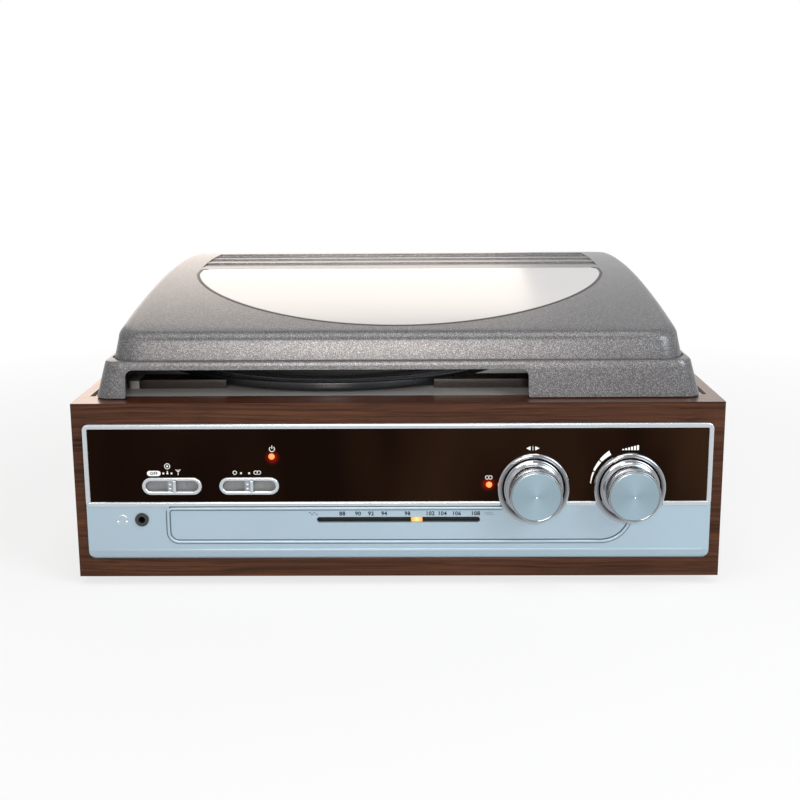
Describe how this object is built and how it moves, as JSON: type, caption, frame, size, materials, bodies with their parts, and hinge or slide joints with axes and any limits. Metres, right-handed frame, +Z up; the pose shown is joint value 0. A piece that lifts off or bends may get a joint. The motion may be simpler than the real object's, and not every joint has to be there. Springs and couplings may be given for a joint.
{
  "type": "stereo music centre",
  "caption": "Record player and radio in a wooden cabinet, with a silver and black front panel, dial slot, knobs, slide switches and a hinged smoked lid with a half-moon window.",
  "frame": {"origin": "on the floor plane under the middle of the object, between the left and right faces and between the knobs and the rear sockets", "axes": "+X to the right as seen from the front, +Y from the front to the rear, +Z up; the front panel faces -Y"},
  "size_m": [0.335, 0.3123, 0.1515],
  "materials": {
    "walnut": "walnut-grained veneer, satin",
    "board": "raw chipboard",
    "batten": "plain softwood",
    "panel_silver": "satin silver",
    "fascia_black": "high gloss",
    "chrome": "polished",
    "spun_face": "spun",
    "bright_plastic": "metallised",
    "slider_grey": "satin",
    "steel": "plain",
    "brass": "turned",
    "lamp": "clear tinted",
    "black_plastic": "fine matt",
    "rubber": "matt",
    "pointer_amber": "lit from behind",
    "ivory": "moulded",
    "cord": "braided",
    "circuit": "laminate",
    "core": "varnished laminations",
    "speaker_grey": "pressed",
    "deck_grey": "fine texture",
    "trim_dark": "gloss",
    "control_silver": "satin silver",
    "platter_alloy": "satin",
    "arm_silver": "satin",
    "stylus_red": "tinted",
    "lid_smoke": "smoked, with fine sparkle",
    "window_clear": "clear"
  },
  "bodies": {
    "cabinet": {"front_frame": "walnut", "side_board_left": "walnut", "side_board_right": "walnut", "base_board": "board", "rear_panel": "black_plastic", "corner_blocks": "batten", "feet": "rubber", "front_panel": "panel_silver", "black_fascia": "fascia_black", "knob_rings": "chrome", "tuning_bush": "brass", "volume_control": "steel", "switch_bezels": "bright_plastic", "switch_bodies": "steel", "lamps": "lamp", "headphone_socket": "black_plastic", "dial_plate": "black_plastic", "cord_guide": "ivory", "dial_cord": "cord", "tuning_capacitor": "steel", "circuit_board": "circuit", "transformer": "core", "speakers": "speaker_grey", "line_out_sockets": "steel", "lead_gland": "black_plastic", "deck_plate": "deck_grey", "deck_trim": "trim_dark", "control_deck": "control_silver", "platter_bearing": "brass", "drive_belt": "rubber", "motor": "steel", "tonearm_base": "black_plastic", "arm_rest": "black_plastic", "hinge_brackets": "steel"},
    "lid": {"lid_shell": "lid_smoke", "lid_window": "window_clear", "lid_knuckles": "black_plastic"},
    "tuning": {"tuning_shaft": "steel", "tuning_knob": "chrome", "tuning_knob_face": "spun_face"},
    "pointer": {"dial_pointer": "pointer_amber"},
    "drum": {"dial_drum": "ivory"},
    "volume": {"volume_shaft": "steel", "volume_knob": "chrome", "volume_knob_face": "spun_face"},
    "function_switch": {"function_slider": "slider_grey"},
    "stereo_switch": {"stereo_slider": "slider_grey"},
    "platter": {"platter": "platter_alloy", "platter_mat": "rubber", "spindle": "steel"},
    "pulley": {"motor_pulley": "brass"},
    "turret": {"tonearm_turret": "arm_silver"},
    "arm": {"tonearm": "arm_silver", "cartridge": "black_plastic", "stylus": "stylus_red"},
    "cue_lever": {"cue_lever": "black_plastic"},
    "cue_bar": {"cue_bar": "steel"},
    "speed_switch": {"speed_slider": "black_plastic"},
    "stop_switch": {"stop_slider": "black_plastic"},
    "adaptor": {"adaptor_45": "black_plastic"}
  },
  "joints": [
    {"name": "lid_open", "type": "hinge", "parent": "cabinet", "child": "lid", "pos_m": [0, 0.13975, 0.1045], "axis": [-1, 0, 0], "range_deg": [0, 70]},
    {"name": "tuning_turn", "type": "hinge", "parent": "cabinet", "child": "tuning", "pos_m": [0.0702, -0.13775, 0.053], "axis": [0, 1, 0], "range_deg": [-256.84, 187.69]},
    {"name": "pointer_slide", "type": "slide", "parent": "cabinet", "child": "pointer", "axis": [1, 0, 0], "range_m": [-0.0392, 0.0287]},
    {"name": "drum_turn", "type": "hinge", "parent": "cabinet", "child": "drum", "pos_m": [0.01, -0.11575, 0.036], "axis": [0, 1, 0], "range_deg": [-98.94, 72.44]},
    {"name": "volume_turn", "type": "hinge", "parent": "cabinet", "child": "volume", "pos_m": [0.1197, -0.13775, 0.053], "axis": [0, 1, 0], "range_deg": [-60, 240]},
    {"name": "function_slide", "type": "slide", "parent": "cabinet", "child": "function_switch", "axis": [1, 0, 0], "range_m": [-0.0044, 0]},
    {"name": "stereo_slide", "type": "slide", "parent": "cabinet", "child": "stereo_switch", "axis": [1, 0, 0], "range_m": [-0.0042, 0]},
    {"name": "platter_spin", "type": "hinge", "parent": "cabinet", "child": "platter", "pos_m": [-0.0365, -0.01275, 0.098], "axis": [0, 0, -1], "continuous": true},
    {"name": "pulley_spin", "type": "hinge", "parent": "cabinet", "child": "pulley", "pos_m": [-0.10232, 0.02525, 0.096], "axis": [0, 0, -1], "continuous": true},
    {"name": "arm_swing", "type": "hinge", "parent": "cabinet", "child": "turret", "pos_m": [0.122, 0.08425, 0.107], "axis": [0, 0, -1], "range_deg": [0, 41]},
    {"name": "arm_lift", "type": "hinge", "parent": "turret", "child": "arm", "pos_m": [0.122, 0.08425, 0.116], "axis": [-1, 0, 0], "range_deg": [0, 2.2]},
    {"name": "cue_turn", "type": "hinge", "parent": "cabinet", "child": "cue_lever", "pos_m": [0.134, 0.06625, 0.1112], "axis": [-1, 0, 0], "range_deg": [0, 60.05]},
    {"name": "cue_rise", "type": "slide", "parent": "cabinet", "child": "cue_bar", "axis": [0, 0, 1], "range_m": [0, 0.00131]},
    {"name": "speed_slide", "type": "slide", "parent": "cabinet", "child": "speed_switch", "axis": [0, 1, 0], "range_m": [0, 0.01]},
    {"name": "stop_slide", "type": "slide", "parent": "cabinet", "child": "stop_switch", "axis": [0, 1, 0], "range_m": [0, 0.005]},
    {"name": "adaptor_out", "type": "slide", "parent": "cabinet", "child": "adaptor", "axis": [0, 0, 1], "range_m": [0, 0.02]}
  ],
  "couplings": [
    {"joint": "pointer_slide", "follows": "tuning_turn", "m_per_rad": 0.0087},
    {"joint": "drum_turn", "follows": "tuning_turn", "ratio": 0.38326},
    {"joint": "pulley_spin", "follows": "platter_spin", "ratio": 11.526},
    {"joint": "cue_turn", "follows": "cue_rise", "rad_per_m": 800},
    {"joint": "arm_lift", "follows": "cue_rise", "rad_per_m": 29.33}
  ]
}
